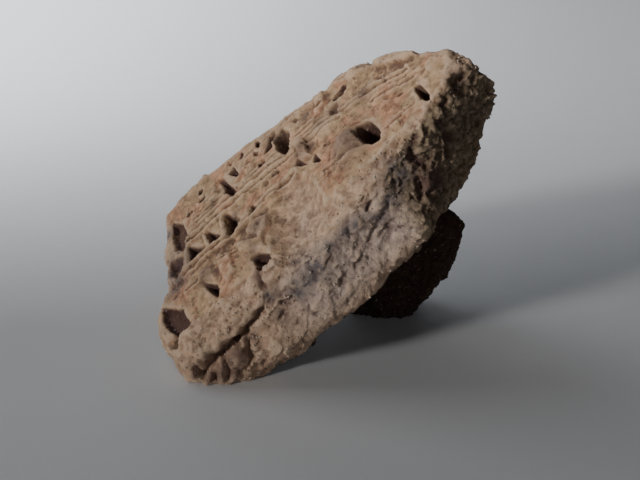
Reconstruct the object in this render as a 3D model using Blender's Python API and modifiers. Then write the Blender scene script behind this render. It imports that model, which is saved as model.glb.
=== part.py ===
"""A broken piece of a fired clay sealing, lying as it was set down.

The piece is one solid. It is modelled lying flat in its own frame: X runs along
the ruled lines of the inscribed face, Y runs across them, and the face is Z = 0
with the clay below it. An empty then leans that frame until the toe and the
knob under the back touch the table, which is the world's Z = 0.
"""

import math

import bmesh
import bpy
from mathutils import Matrix, Vector, noise

# Driving sizes, in metres
FACE_LENGTH = 0.0485
FACE_WIDTH = 0.0265
SLAB_THICKNESS = 0.0106
KNOB_DROP = 0.0172
WORN_FLAT = 0.0005

# The inscription's ruled lines and the strokes pressed between them
LINE_PITCH = 0.0058
FIRST_LINE = 0.0052
LINE_WIDTH = 0.0006
LINE_DEPTH = 0.00045
LINE_MARGIN = 0.0030
STROKE_DEPTH = 0.0015
STROKE_LEAN = 0.45
STROKE_TIP_SHARE = 0.35

# How far the cutters of lines and strokes stand up, clear of the face
CUTTER_CLEARANCE = 0.0030

# The skin: the size of its facets, and how far breaks and face stray from smooth
FACET = 0.00122
BREAK_ROUGHNESS = 0.0009
BREAK_WAVE = 0.0045
BREAK_SWELL_SHARE = 0.6
FACE_ROUGHNESS = 0.00022
FACE_WAVE = 0.0080
FACE_SKIN = 0.0012

# Heading of the ruled lines over the table, from +X towards +Y
HEADING_DEG = -9.1

CLAY_COLOUR = (0.47, 0.33, 0.24, 1.0)
CLAY_ROUGHNESS = 0.92

NODE = "clay_sealing"

# Corners in shares of the slab: along the face length, across its width, and
# down its thickness, where -1 is the underside
FACE_CORNERS = (
    (0.000, -0.050, 0.00),
    (-0.066, 0.080, -0.10),
    (-0.088, 0.170, -0.12),
    (-0.070, 0.270, -0.08),
    (-0.018, 0.680, 0.00),
    (-0.026, 0.980, -0.02),
    (0.060, 1.030, 0.00),
    (0.370, 0.985, 0.00),
    (0.690, 0.800, 0.00),
    (0.830, 0.690, 0.00),
    (0.975, 0.420, 0.00),
    (0.989, 0.319, -0.24),
    (0.946, 0.282, -0.01),
    (0.874, 0.176, 0.00),
    (0.771, 0.117, -0.04),
    (0.550, 0.090, 0.00),
)
UNDERSIDE_CORNERS = (
    (-0.045, -0.150, -0.40),
    (-0.010, -0.160, -0.55),
    (0.062, -0.145, -0.86),
    (0.100, -0.130, -1.01),
    (0.240, -0.095, -0.97),
    (0.400, -0.070, -1.04),
    (0.580, -0.020, -1.05),
    (0.667, 0.051, -0.27),
    (0.642, -0.002, -0.63),
    (0.630, -0.034, -0.91),
    (0.693, 0.066, -0.96),
    (0.707, 0.172, -1.23),
    (0.998, 0.318, -0.40),
    (0.992, 0.326, -0.62),
    (0.971, 0.339, -0.77),
    (0.890, 0.336, -1.08),
    (0.828, 0.320, -1.23),
    (0.751, 0.311, -1.45),
    (0.020, 0.930, -1.00),
    (0.060, 0.500, -1.05),
    (0.750, 0.750, -1.00),
)

# The thick back starts inside the slab and the knob inside the back. Their lower
# corners are given by the drop under the slab, as a share of KNOB_DROP.
BACK_ROOT_CORNERS = (
    (0.120, 0.330, -0.50),
    (0.100, 0.900, -0.50),
    (0.650, 0.780, -0.50),
    (0.880, 0.480, -0.60),
    (0.930, 0.380, -0.70),
    (0.800, 0.330, -0.70),
)
BACK_CORNERS = (
    (0.900, 0.385, 0.06),
    (0.810, 0.360, 0.20),
    (0.745, 0.355, 0.32),
    (0.620, 0.420, 0.52),
    (0.240, 0.420, 0.20),
    (0.220, 0.620, 0.55),
    (0.500, 0.740, 0.56),
    (0.120, 0.800, 0.30),
    (0.700, 0.660, 0.30),
)
KNOB_CORNERS = (
    (0.610, 0.420, 0.42),
    (0.280, 0.420, 0.25),
    (0.260, 0.640, 0.40),
    (0.560, 0.640, 0.40),
    (0.695, 0.450, 0.66),
    (0.705, 0.430, 0.80),
    (0.610, 0.370, 0.90),
    (0.555, 0.360, 0.93),
    (0.450, 0.330, 0.98),
    (0.382, 0.290, 1.08),
    (0.330, 0.300, 1.06),
    (0.225, 0.405, 0.80),
    (0.240, 0.570, 0.99),
    (0.285, 0.640, 1.16),
    (0.340, 0.530, 1.22),
    (0.560, 0.640, 0.72),
)

# The three points that the piece rests on: two of the slab, one of the knob
TOE_TIP = (-0.031, -0.132, -0.40)
TOE_HEEL = (0.095, -0.110, -1.01)
KNOB_FOOT = (0.342, 0.294, 1.02)

# Losses in the slab: the place and the half sizes of an ellipsoid of clay that is
# gone, both in shares of the slab
LOSSES = (
    ((0.443, 0.100, 0.480), (0.128, 0.509, 0.679)),
    ((-0.055, 0.490, -0.25), (0.049, 0.151, 0.472)),
    ((0.118, 0.020, -0.55), (0.120, 0.060, 0.075)),
    ((0.922, 0.337, -0.99), (0.040, 0.080, 0.120)),
)

# Clay pushed up beside the strokes: the place in shares of the face, then radius
# and height in shares of LINE_PITCH
MOUNDS = (
    (0.648, 0.375, 0.52, 0.155),
    (0.315, 0.290, 0.45, 0.100),
    (0.722, 0.765, 0.29, 0.170),
    (0.672, 0.800, 0.34, 0.120),
)

# Rows of strokes: the line below the row, the place of the first stroke and the
# pitch in shares of FACE_LENGTH, their number, their height over the line, length
# and breadth in shares of LINE_PITCH, depth as a share of STROKE_DEPTH, turn in
# degrees and corners. Line 0 is the first ruled line.
STROKE_ROWS = (
    (1, 0.111, 0.070, 4, 0.30, 0.43, 0.53, 1.0, 0, 4),
    (1, 0.588, 0.076, 4, 0.70, 0.22, 0.59, 0.6, 14, 4),
    (2, 0.231, 0.074, 4, 0.62, 0.22, 0.97, 1.0, 20, 4),
    (2, 0.132, 0.041, 2, 0.90, 0.16, 0.16, 0.5, 0, 4),
    (2, 0.546, 0.072, 3, 0.45, 0.22, 0.62, 0.7, 16, 4),
    (0, 0.598, 0.113, 2, 0.85, 0.26, 0.22, 0.5, 0, 3),
)

# Single dents in the face: the place in shares of the face, length and breadth in
# shares of LINE_PITCH, depth as a share of STROKE_DEPTH, turn in degrees, corners
DENTS = (
    (0.012, 0.083, 0.59, 1.00, 1.5, -36, 4),
    (0.151, 0.158, 0.59, 0.38, 1.0, -35, 4),
    (0.322, 0.091, 0.59, 0.45, 1.3, -15, 5),
    (0.041, 0.709, 0.47, 1.14, 1.3, 10, 4),
    (0.507, 0.472, 0.52, 0.55, 0.8, 20, 3),
    (0.462, 0.747, 0.38, 0.79, 1.4, 12, 5),
    (0.691, 0.332, 0.52, 0.76, 2.2, 20, 8),
    (0.852, 0.287, 0.21, 0.72, 1.0, 12, 6),
)


def slab_point(along, across, down):
    """A point of the slab from its shares."""
    return Vector((along * FACE_LENGTH, across * FACE_WIDTH, down * SLAB_THICKNESS))


def knob_point(along, across, drop):
    """A point under the slab from its shares, the last one of KNOB_DROP."""
    return slab_point(along, across, -1.0) - Vector((0, 0, drop * KNOB_DROP))


def add_object(name, mesh, collection, parent=None):
    """An object for a mesh, in its collection and under its parent."""
    made = bpy.data.objects.new(name, mesh)
    collection.objects.link(made)
    made.parent = parent
    return made


def mesh_from(name, shape):
    """A mesh with the faces of a bmesh, which is freed."""
    mesh = bpy.data.meshes.new(name)
    shape.to_mesh(mesh)
    shape.free()
    return mesh


def hull_mesh(name, points):
    """The convex lump of clay that has these corners."""
    lump = bmesh.new()
    for point in points:
        lump.verts.new(point)
    made = bmesh.ops.convex_hull(lump, input=lump.verts)
    inside = [v for v in made["geom_interior"] if isinstance(v, bmesh.types.BMVert)]
    bmesh.ops.delete(lump, geom=inside, context="VERTS")
    return mesh_from(name, lump)


def mound_mesh(name, along, across, radius, height):
    """A low dome of clay that stands on the face."""
    dome = bmesh.new()
    bmesh.ops.create_uvsphere(dome, u_segments=16, v_segments=8, radius=1.0)
    reach = radius * LINE_PITCH
    rise = height * LINE_PITCH
    bmesh.ops.scale(dome, vec=(reach, reach, 2 * rise), verts=dome.verts)
    place = slab_point(along, across, 0.0) - Vector((0, 0, rise))
    bmesh.ops.translate(dome, vec=place, verts=dome.verts)
    return mesh_from(name, dome)


def dent_mesh(name, place, length, breadth, depth, turn, corners):
    """A blunt wedge, point down, leaning so that the lower wall is the steep one."""
    deep = depth * STROKE_DEPTH
    levels = ((-deep, STROKE_TIP_SHARE), (0.0, 1.0), (CUTTER_CLEARANCE, 1.0))
    half_pitch = LINE_PITCH / 2 / math.cos(math.pi / corners)
    turned = Matrix.Rotation(math.radians(turn), 3, "Z")
    points = []
    for height, share in levels:
        lean = Vector((0, STROKE_LEAN * min(height, 0.0), height))
        for number in range(corners):
            angle = math.pi / 2 + (2 * number + 1) * math.pi / corners
            across = breadth * math.sin(angle)
            out = Vector((length * math.cos(angle), across, 0)) * share * half_pitch
            points.append(place + turned @ out + lean)
    return hull_mesh(name, points)


def line_places():
    """How far up the face each ruled line that fits on it stands."""
    room = FACE_WIDTH - FIRST_LINE - LINE_MARGIN
    count = int(room / LINE_PITCH) + 1
    return [FIRST_LINE + number * LINE_PITCH for number in range(count)]


def stroke_meshes():
    """The strokes of each row that lies between two ruled lines."""
    lines = line_places()
    meshes = []
    for line, first, pitch, count, place, *shape in STROKE_ROWS:
        if line + 1 >= len(lines):
            continue
        across = lines[line] + place * LINE_PITCH
        for number in range(count):
            along = (first + number * pitch) * FACE_LENGTH
            meshes.append(dent_mesh("stroke", Vector((along, across, 0)), *shape))
    return meshes


def line_mesh(name, across):
    """A long bar whose sharp lower edge scores one ruled line."""
    points = []
    for along in (LINE_MARGIN, FACE_LENGTH - LINE_MARGIN):
        points.append(Vector((along, across, -LINE_DEPTH)))
        for edge in (across - LINE_WIDTH / 2, across + LINE_WIDTH / 2):
            points.append(Vector((along, edge, 0)))
            points.append(Vector((along, edge, CUTTER_CLEARANCE)))
    return hull_mesh(name, points)


def loss_mesh(name, place, half_sizes):
    """An ellipsoid of clay that has broken away."""
    loss = bmesh.new()
    bmesh.ops.create_icosphere(loss, subdivisions=3, radius=1.0)
    bmesh.ops.scale(loss, vec=slab_point(*half_sizes), verts=loss.verts)
    bmesh.ops.translate(loss, vec=slab_point(*place), verts=loss.verts)
    return mesh_from(name, loss)


def joined_mesh(name, meshes):
    """One mesh that holds the faces of them all."""
    heap = bmesh.new()
    for mesh in meshes:
        heap.from_mesh(mesh)
    return mesh_from(name, heap)


def add_skin_step(skin, name, facet):
    """Rebuilds the surface from even facets, which fuses lumps that overlap."""
    remesh = skin.modifiers.new(name, "REMESH")
    remesh.mode = "VOXEL"
    remesh.voxel_size = facet


def baked_mesh(holder):
    """The mesh of an object with its modifiers applied. The object is removed."""
    graph = bpy.context.evaluated_depsgraph_get()
    mesh = bpy.data.meshes.new_from_object(holder.evaluated_get(graph))
    bpy.data.objects.remove(holder)
    return mesh


def unfolded_mesh(name, mesh, scratch):
    """Fresh even facets, so that rough walls of a crease fuse where they meet."""
    skin = add_object(name, mesh, scratch)
    add_skin_step(skin, "Even facets", FACET)
    return baked_mesh(skin)


def fused_mesh(name, lumps, losses, scratch):
    """One even skin of facets around all the lumps, without the losses."""
    skin = add_object(name, joined_mesh(name, lumps), scratch)
    gone = add_object("losses", joined_mesh("losses", losses), scratch)
    add_skin_step(skin, "Fused lumps", FACET / 2)
    bite = skin.modifiers.new("Losses", "BOOLEAN")
    bite.operation = "DIFFERENCE"
    bite.solver = "EXACT"
    bite.use_self = True
    bite.object = gone
    add_skin_step(skin, "Losses fused", FACET / 2)
    rounding = skin.modifiers.new("Rounded edges", "SMOOTH")
    rounding.factor = 0.5
    rounding.iterations = 2
    fused = baked_mesh(skin)
    bpy.data.objects.remove(gone)
    return fused


def smooth_step(low, high, value):
    """0 under low, 1 over high, and a smooth rise between."""
    share = min(1.0, max(0.0, (value - low) / (high - low)))
    return share * share * (3.0 - 2.0 * share)


def weather(mesh):
    """Makes the breaks rough and leaves the inscribed face nearly smooth."""
    normals = [v.normal.copy() for v in mesh.vertices]
    for vertex, normal in zip(mesh.vertices, normals):
        place = vertex.co.copy()
        on_face = smooth_step(-2 * FACE_SKIN, -FACE_SKIN / 2, place.z)
        on_face *= smooth_step(0.3, 0.8, normal.z)
        rough = noise.turbulence(place / BREAK_WAVE, 3, False)
        broad = noise.noise(place / FACE_WAVE)
        stray = (1.0 - on_face) * BREAK_ROUGHNESS * (rough + BREAK_SWELL_SHARE * broad)
        stray += on_face * FACE_ROUGHNESS * broad
        vertex.co = place + normal * stray


def resting_matrix():
    """The lean that lays the toe and the knob's foot on the table."""
    tip = slab_point(*TOE_TIP)
    heel = slab_point(*TOE_HEEL)
    foot = knob_point(*KNOB_FOOT)
    up = (heel - tip).cross(foot - tip).normalized()
    if up.z < 0:
        up.negate()
    lines = Vector((1, 0, 0))
    over_table = (lines - up * lines.dot(up)).normalized()
    beside = up.cross(over_table)
    heading = math.radians(HEADING_DEG)
    x_axis = math.cos(heading) * over_table - math.sin(heading) * beside
    y_axis = math.sin(heading) * over_table + math.cos(heading) * beside
    lean = Matrix((x_axis, y_axis, up)).to_4x4()
    height = WORN_FLAT + (lean @ tip).z
    return Matrix.Translation((0, 0, -height)) @ lean


def clay_material():
    """Dull, sandy fired clay."""
    clay = bpy.data.materials.new("fired_clay")
    clay.use_nodes = True
    shader = clay.node_tree.nodes["Principled BSDF"]
    shader.inputs["Base Color"].default_value = CLAY_COLOUR
    shader.inputs["Roughness"].default_value = CLAY_ROUGHNESS
    shader.inputs["Metallic"].default_value = 0.0
    return clay


def table_cutter(cutters):
    """A block under the table, which wears flats where the piece rests."""
    side = 3 * FACE_LENGTH
    block = bmesh.new()
    bmesh.ops.create_cube(block, size=side)
    bmesh.ops.translate(block, vec=(0, 0, -side / 2), verts=block.verts)
    return add_object("table_cutter", mesh_from("table_cutter", block), cutters)


def main():
    for old in list(bpy.data.objects):
        bpy.data.objects.remove(old)
    scene = bpy.context.scene.collection
    parts = bpy.data.collections.new("clay sealing")
    cutters = bpy.data.collections.new("cutters")
    scene.children.link(parts)
    scene.children.link(cutters)

    frame = bpy.data.objects.new("face_frame", None)
    parts.objects.link(frame)
    frame.matrix_world = resting_matrix()

    slab = [slab_point(*corner) for corner in FACE_CORNERS + UNDERSIDE_CORNERS]
    back = [slab_point(*corner) for corner in BACK_ROOT_CORNERS]
    back += [knob_point(*corner) for corner in BACK_CORNERS]
    knob = [knob_point(*corner) for corner in KNOB_CORNERS]
    lumps = [hull_mesh("slab", slab), hull_mesh("back", back), hull_mesh("knob", knob)]
    lumps += [mound_mesh("mound", *mound) for mound in MOUNDS]
    losses = [loss_mesh("loss", *loss) for loss in LOSSES]
    skin = fused_mesh(NODE, lumps, losses, cutters)
    weather(skin)
    skin = unfolded_mesh(NODE, skin, cutters)
    skin.materials.append(clay_material())
    piece = add_object(NODE, skin, parts, frame)

    pressed = stroke_meshes()
    for along, across, *shape in DENTS:
        place = slab_point(along, across, 0.0)
        pressed.append(dent_mesh("dent", place, *shape))
    pressed += [line_mesh("line", across) for across in line_places()]
    for number, mesh in enumerate(pressed):
        add_object(f"{mesh.name}_cutter_{number}", mesh, cutters, frame)
    table_cutter(cutters)
    for cutter in cutters.objects:
        cutter.hide_render = True
        cutter.display_type = "WIRE"

    cut = piece.modifiers.new("Marks, lines and worn flats", "BOOLEAN")
    cut.operation = "DIFFERENCE"
    cut.solver = "EXACT"
    cut.operand_type = "COLLECTION"
    cut.collection = cutters

    bpy.context.view_layer.update()
    graph = bpy.context.evaluated_depsgraph_get()
    cut_piece = piece.evaluated_get(graph)
    corners = [cut_piece.matrix_world @ v.co for v in cut_piece.data.vertices]
    middle_x = (min(c.x for c in corners) + max(c.x for c in corners)) / 2
    middle_y = (min(c.y for c in corners) + max(c.y for c in corners)) / 2
    frame.matrix_world = Matrix.Translation((-middle_x, -middle_y, 0)) @ frame.matrix_world


main()
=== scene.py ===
# %% [markdown]
# # A broken clay sealing
#
# This lesson dresses the plain CAD lump of a fired clay sealing, so that it looks
# like the real fragment: an inscribed face with ruled lines and pressed strokes, a
# grey break in front, a dark broken end on the right and an old dark underside.
#
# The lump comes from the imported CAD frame, which MuJoCo uses too. Everything that is
# made here keeps its form and its place.

# %% Load the frame
import math

import bmesh
import bpy
import numpy as np
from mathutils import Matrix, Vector, kdtree, noise


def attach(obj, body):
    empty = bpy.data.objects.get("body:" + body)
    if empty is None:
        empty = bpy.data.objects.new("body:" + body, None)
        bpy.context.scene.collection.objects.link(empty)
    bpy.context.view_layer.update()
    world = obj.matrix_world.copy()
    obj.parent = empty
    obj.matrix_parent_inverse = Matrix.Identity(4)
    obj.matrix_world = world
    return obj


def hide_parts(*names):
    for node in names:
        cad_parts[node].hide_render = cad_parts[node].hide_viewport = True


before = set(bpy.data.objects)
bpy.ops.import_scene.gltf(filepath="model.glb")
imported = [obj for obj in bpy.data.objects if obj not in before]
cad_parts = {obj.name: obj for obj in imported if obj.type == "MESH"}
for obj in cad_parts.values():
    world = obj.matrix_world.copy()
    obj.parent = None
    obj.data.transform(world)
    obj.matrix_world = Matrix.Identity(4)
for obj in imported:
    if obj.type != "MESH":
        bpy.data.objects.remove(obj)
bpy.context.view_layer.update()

cad_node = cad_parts["clay_sealing"]

# %% [markdown]
# ## The face frame
#
# The piece leans, but its inscription was pressed into a flat face. Measuring is
# easiest in a frame of that face: u runs along the ruled lines, v across them and w
# straight out of the face. All places in the tables below are in this frame, in
# millimetres. `to_face` and `to_row` turn many points at once, because NumPy works on
# whole arrays far faster than Python works on one vertex after another.

# %% The face frame
MM = 0.001
FACE_CORNER = (-0.016930, -0.012114, 0.004480)
LINES_RUN = (0.732259, -0.117289, 0.670850)
FACE_LOOKS = (-0.663450, -0.345206, 0.663827)

u_axis = Vector(LINES_RUN).normalized()
w_axis = Vector(FACE_LOOKS).normalized()
v_axis = w_axis.cross(u_axis)
face_axes = np.array((u_axis, v_axis, w_axis))


def to_face(places):
    """Places in the row frame, in metres, as u, v, w in millimetres."""
    return (places - np.array(FACE_CORNER)) @ face_axes.T / MM


def to_row(places):
    """Places as u, v, w in millimetres, turned back into the row frame."""
    return places * MM @ face_axes + np.array(FACE_CORNER)


print("across the lines:", [round(c, 3) for c in v_axis])

# %% [markdown]
# ## Reading and moving vertices
#
# The relief could be sculpted by hand, but a script has to give the same piece each
# time. So every vertex is read into an array, moved by a formula and written back.
# `foreach_get` and `foreach_set` copy all vertices in one go.

# %% Reading and moving vertices
def coordinates(mesh):
    """All vertices of a mesh as an array."""
    places = np.zeros(len(mesh.vertices) * 3)
    mesh.vertices.foreach_get("co", places)
    return places.reshape(-1, 3)


def normals_of(mesh):
    """All vertex normals of a mesh as an array."""
    normals = np.zeros(len(mesh.vertices) * 3, np.float32)
    mesh.vertex_normals.foreach_get("vector", normals)
    return normals.reshape(-1, 3).astype(float)


def set_coordinates(mesh, places):
    """Moves all vertices of a mesh."""
    mesh.vertices.foreach_set("co", places.astype(np.float32).ravel())
    mesh.update()


print("CAD vertices:", len(coordinates(cad_node.data)))

# %% [markdown]
# ## From CAD facets to a fine skin
#
# The CAD solid has about nine thousand triangles. Fine relief needs far more, and
# evenly spread ones. A voxel Remesh modifier rebuilds the closed surface from small
# even facets, and a Smooth modifier melts the flat CAD facets into each other.
# Subdividing would be simpler, but it keeps the long thin triangles of the CAD mesh.
# `baked` turns what the modifiers show into a plain mesh and removes them.

# %% The merged copy
# An imported mesh is split along its edges, so its doubles are merged first
MERGE_WITHIN = 1e-6


def add_object(name, mesh):
    """A new object for a mesh, in the scene."""
    made = bpy.data.objects.new(name, mesh)
    bpy.context.scene.collection.objects.link(made)
    return made


merged = bmesh.new()
merged.from_mesh(cad_node.data)
bmesh.ops.remove_doubles(merged, verts=merged.verts, dist=MERGE_WITHIN)
form = bpy.data.meshes.new("clay_sealing_relief")
merged.to_mesh(form)
merged.free()
form.materials.clear()
piece = add_object("clay_sealing_relief", form)
print("merged:", len(form.vertices), "vertices")

# %% The fine skin
FINE_FACET = 0.00015
MELTING = 30


def baked(holder):
    """The mesh of an object with its modifiers applied, which are then removed."""
    bpy.context.view_layer.update()
    graph = bpy.context.evaluated_depsgraph_get()
    mesh = bpy.data.meshes.new_from_object(holder.evaluated_get(graph))
    holder.modifiers.clear()
    old = holder.data
    holder.data = mesh
    bpy.data.meshes.remove(old)
    return mesh


def reskin(holder, facet, melting):
    """Even facets of one size over the whole surface, then a number of smoothings."""
    remesh = holder.modifiers.new("Even facets", "REMESH")
    remesh.mode = "VOXEL"
    remesh.voxel_size = facet
    smooth = holder.modifiers.new("Melt", "SMOOTH")
    smooth.factor = 0.5
    smooth.iterations = melting
    return baked(holder)


skin = reskin(piece, FINE_FACET, MELTING)
print("fine skin:", len(skin.vertices), "vertices")

# %% [markdown]
# ## Where the inscribed face is
#
# The face was ruled with a fine line every few millimetres while the clay was wet,
# and a reed was pressed into the rows. Later the front edge lost a shallow shell of
# clay, the spall, and its floor is broken clay without marks.
#
# The relief of the face is a height map: each vertex near the face gets a height over
# it. `face_share` says which vertices those are. It is 1 well inside the outline of
# the face and falls to 0 at its edge, so that the relief fades out without a step.

# %% Smooth steps and clouds
def steps(low, high, values):
    """0 under low, 1 over high, and a smooth rise between."""
    share = np.clip((values - low) / (high - low), 0.0, 1.0)
    return share * share * (3.0 - 2.0 * share)


def cloud(places, wave, offset=0.0):
    """Smooth noise between -1 and 1 whose lumps are about one wave wide."""
    shift = Vector((offset, 2.0 * offset, -offset))
    return np.array([noise.noise(Vector(p) / wave + shift) for p in places])


print("a quarter, half and all the way up a step:", steps(0.0, 1.0, np.array((0.25, 0.5, 1.0))))

# %% The outline of the face
OUTLINE = (
    (-0.6, 0.2), (-3.2, 3.4), (-2.9, 7.0), (-1.4, 9.0), (-0.7, 12.5), (-0.9, 18.0),
    (-1.2, 25.6), (2.4, 27.0), (17.6, 26.0), (33.4, 21.2), (40.3, 18.2), (47.0, 11.0),
    (46.6, 8.3), (42.5, 5.0), (37.4, 3.6), (26.6, 2.6), (10.4, 0.6),
)
OUTLINE_SOFTNESS = 0.9
DEEPEST_CUT = 4.6
EDGE_CUT = 0.3
CUT_SLOPE = 1.3
CUT_SOFTNESS = 0.6


def inside(corners, u, v):
    """How far each place is inside an outline, and less than 0 outside it."""
    within = np.zeros(len(u), bool)
    nearest = np.full(len(u), 1e9)
    for (au, av), (bu, bv) in zip(corners, corners[1:] + corners[:1]):
        along = ((u - au) * (bu - au) + (v - av) * (bv - av)) / ((bu - au) ** 2 + (bv - av) ** 2)
        along = np.clip(along, 0.0, 1.0)
        apart = np.hypot(u - au - along * (bu - au), v - av - along * (bv - av))
        nearest = np.minimum(nearest, apart)
        crosses = (av > v) != (bv > v)
        level = bv - av if bv != av else 1e-9
        within ^= crosses & (u < (bu - au) * (v - av) / level + au)
    return np.where(within, nearest, -nearest)


def face_share(face_places):
    """1 on the inscribed face, 0 off it."""
    u, v, w = face_places.T
    within = inside(list(OUTLINE), u, v)
    share = steps(0.0, OUTLINE_SOFTNESS, within)
    lowest = -np.clip(EDGE_CUT + CUT_SLOPE * within, 0.0, DEEPEST_CUT)
    return share * steps(-CUT_SOFTNESS, 0.0, w - lowest)


places = to_face(coordinates(skin))
on_face = face_share(places)
chosen = on_face > 0.0
print("vertices on the face:", int(chosen.sum()))

# %% The spall at the front edge
# The middle and the half sizes of the lost ellipsoid
SPALL_PLACE = (21.5, 2.65, 5.1)
SPALL_HALF_SIZES = (6.2, 13.5, 7.2)


def spall_height(u, v):
    """Height of the floor of the spall, or 0 where the face is whole."""
    reach = ((u - SPALL_PLACE[0]) / SPALL_HALF_SIZES[0]) ** 2
    reach += ((v - SPALL_PLACE[1]) / SPALL_HALF_SIZES[1]) ** 2
    floor = SPALL_PLACE[2] - SPALL_HALF_SIZES[2] * np.sqrt(np.clip(1.0 - reach, 0.0, 1.0))
    return np.minimum(floor, 0.0)


floor = spall_height(places[chosen, 0], places[chosen, 1])
print("deepest place of the spall:", round(floor.min(), 2), "mm")

# %% [markdown]
# ## Pressed pits
#
# The pits stand in rows where the real ones stand, but they are plain and not signs
# of any script. A boolean cut for each would leave sharp machined edges. `pit` works
# out a height instead: it takes the outline of the pit and its deepest place, and
# sinks every point by its share of the way in from the outline. A steep pit reaches
# its flat floor early.

# %% Pressed pits
# The outline, the deepest place, the depth, the steepness, and the soil in it, which is partly painted
# shade
PITS = (
    (((3.8, 15.0), (7.4, 11.4), (4.0, 10.8)), (4.7, 11.9), 2.0, 1.9, 1.0),
    (((7.3, 15.1), (10.0, 11.6), (7.6, 11.3)), (8.1, 12.1), 1.7, 1.9, 0.95),
    (((10.6, 15.5), (13.9, 11.5), (10.9, 10.7)), (11.5, 12.0), 2.1, 1.9, 1.0),
    (((15.1, 13.2), (16.5, 11.6), (15.2, 11.3)), (15.4, 11.9), 0.9, 1.6, 0.9),
    (
        ((0.6, 22.7), (3.0, 20.4), (3.9, 16.7), (3.2, 14.3), (0.8, 16.2)),
        (2.3, 17.8), 1.0, 4.0, 0.9,
    ),
    (
        ((9.9, 23.8), (11.0, 22.9), (13.5, 17.1), (13.1, 16.4), (11.6, 18.7)),
        (12.2, 19.4), 1.4, 1.8, 1.0,
    ),
    (((11.9, 22.4), (13.2, 23.2), (14.2, 19.7)), (13.2, 21.5), 1.4, 1.8, 1.0),
    (((12.2, 25.0), (13.3, 24.0), (12.6, 23.5)), (12.7, 24.1), 0.6, 1.5, 0.7),
    (((17.5, 24.8), (18.9, 22.5), (18.3, 22.0), (17.5, 23.3)), (18.1, 22.9), 1.3, 1.7, 1.0),
    (((17.2, 22.5), (18.2, 21.2), (17.7, 20.5), (16.9, 21.6)), (17.6, 21.4), 0.9, 1.5, 0.7),
    (((20.7, 23.3), (21.5, 22.6), (20.4, 19.9), (18.3, 19.6)), (20.1, 21.2), 1.2, 1.6, 0.7),
    (
        ((21.2, 21.2), (22.5, 22.5), (23.5, 20.2), (23.0, 16.9), (21.9, 16.9), (20.6, 19.0)),
        (22.2, 19.0), 2.3, 2.0, 0.85,
    ),
    (((24.0, 21.7), (24.9, 21.5), (25.6, 20.4), (24.8, 20.3)), (24.8, 20.9), 0.7, 1.6, 0.6),
    (((22.8, 13.2), (23.7, 14.0), (25.1, 11.0), (24.2, 11.5)), (23.9, 12.7), 1.2, 1.8, 1.0),
    (((25.7, 10.8), (26.2, 12.1), (26.9, 10.0)), (26.2, 10.9), 1.0, 1.8, 1.0),
    (((29.8, 18.2), (31.3, 18.3), (30.9, 15.6), (29.8, 16.1)), (30.5, 17.0), 0.7, 2.2, 0.35),
    (
        ((-1.9, 7.8), (-0.7, 6.8), (2.2, 4.5), (3.6, -0.2), (2.4, -0.9), (-0.6, 2.5), (-1.9, 5.5)),
        (0.8, 2.8), 1.0, 4.5, 1.0,
    ),
    (((5.7, 6.2), (8.2, 4.0), (8.6, 2.6), (8.2, 1.8), (6.3, 4.3)), (7.5, 3.6), 1.6, 2.0, 1.0),
    (((0.2, 15.0), (2.9, 13.9), (2.8, 11.6), (1.5, 10.2), (-0.2, 11.8)), (1.4, 12.4), 1.1, 1.8, 0.80),
    (((13.7, 4.0), (15.2, 3.9), (17.0, 2.4), (16.4, 0.4), (14.5, 2.1)), (15.7, 2.4), 1.8, 2.0, 1.0),
)


def pit(u, v, corners, deepest, depth, steepness):
    """Depth of a pit whose walls fall from its outline to its deepest place."""
    way_out = np.zeros(len(u))
    for (au, av), (bu, bv) in zip(corners, corners[1:] + corners[:1]):
        out_u = bv - av
        out_v = au - bu
        reach = out_u * (au - deepest[0]) + out_v * (av - deepest[1])
        share = (out_u * (u - deepest[0]) + out_v * (v - deepest[1])) / reach
        way_out = np.maximum(way_out, share)
    return depth * np.clip((1.0 - way_out) * steepness, 0.0, 1.0)


print("pits:", len(PITS), "deepest", max(depth for _, _, depth, _, _ in PITS), "mm")

# %% [markdown]
# ## Round holes and mounds
#
# Some holes are round, where a grain fell out or something thin was pushed in, and
# the clay that was pushed aside stands beside them as a mound. Both are turned
# ellipses: `turned_share` says how far out a point is, as a share of the ellipse.

# %% Round holes and mounds
# Holes: the middle, the two half sizes, the turn in degrees, and the depth
HOLES = (
    ((33.9, 8.2), (1.15, 2.45), 17.0, 3.2),
    ((41.4, 7.7), (0.48, 2.00), 9.0, 2.2),
    ((6.8, 23.7), (0.45, 0.50), 0.0, 0.7),
    ((7.1, 21.6), (0.60, 0.60), 0.0, 0.8),
    ((4.4, 21.0), (0.70, 0.40), 20.0, 0.8),
    ((15.0, 23.8), (0.45, 0.80), 0.0, 0.5),
    ((18.2, 18.5), (0.50, 0.50), 0.0, 0.7),
    ((19.8, 14.6), (0.60, 0.30), 0.0, 0.7),
    ((28.6, 20.0), (0.90, 0.35), 0.0, 0.7),
    ((32.0, 19.2), (1.20, 0.50), 12.0, 1.0),
    ((27.9, 12.2), (0.30, 0.25), 0.0, 0.4),
    ((39.0, 10.4), (0.40, 0.30), 0.0, 0.3),
)

# Mounds: the middle, the two half sizes, the turn in degrees, and the height
MOUNDS = (
    ((31.0, 8.8), (1.90, 2.2), 14.0, 1.60),
    ((34.9, 20.0), (1.4, 1.3), 0.0, 1.45),
    ((32.0, 21.4), (1.5, 1.1), 0.0, 1.10),
    ((7.2, 13.1), (0.34, 1.6), 6.0, 0.50),
    ((10.3, 13.3), (0.36, 1.8), 6.0, 0.55),
    ((3.5, 12.6), (0.35, 2.0), 0.0, 0.50),
    ((14.4, 12.4), (0.35, 1.2), 0.0, 0.35),
    ((20.6, 20.6), (0.30, 2.0), 14.0, 0.50),
    ((29.0, 14.0), (1.5, 1.2), 0.0, 0.40),
    ((44.0, 9.6), (2.6, 1.8), 20.0, 0.35),
)


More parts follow.
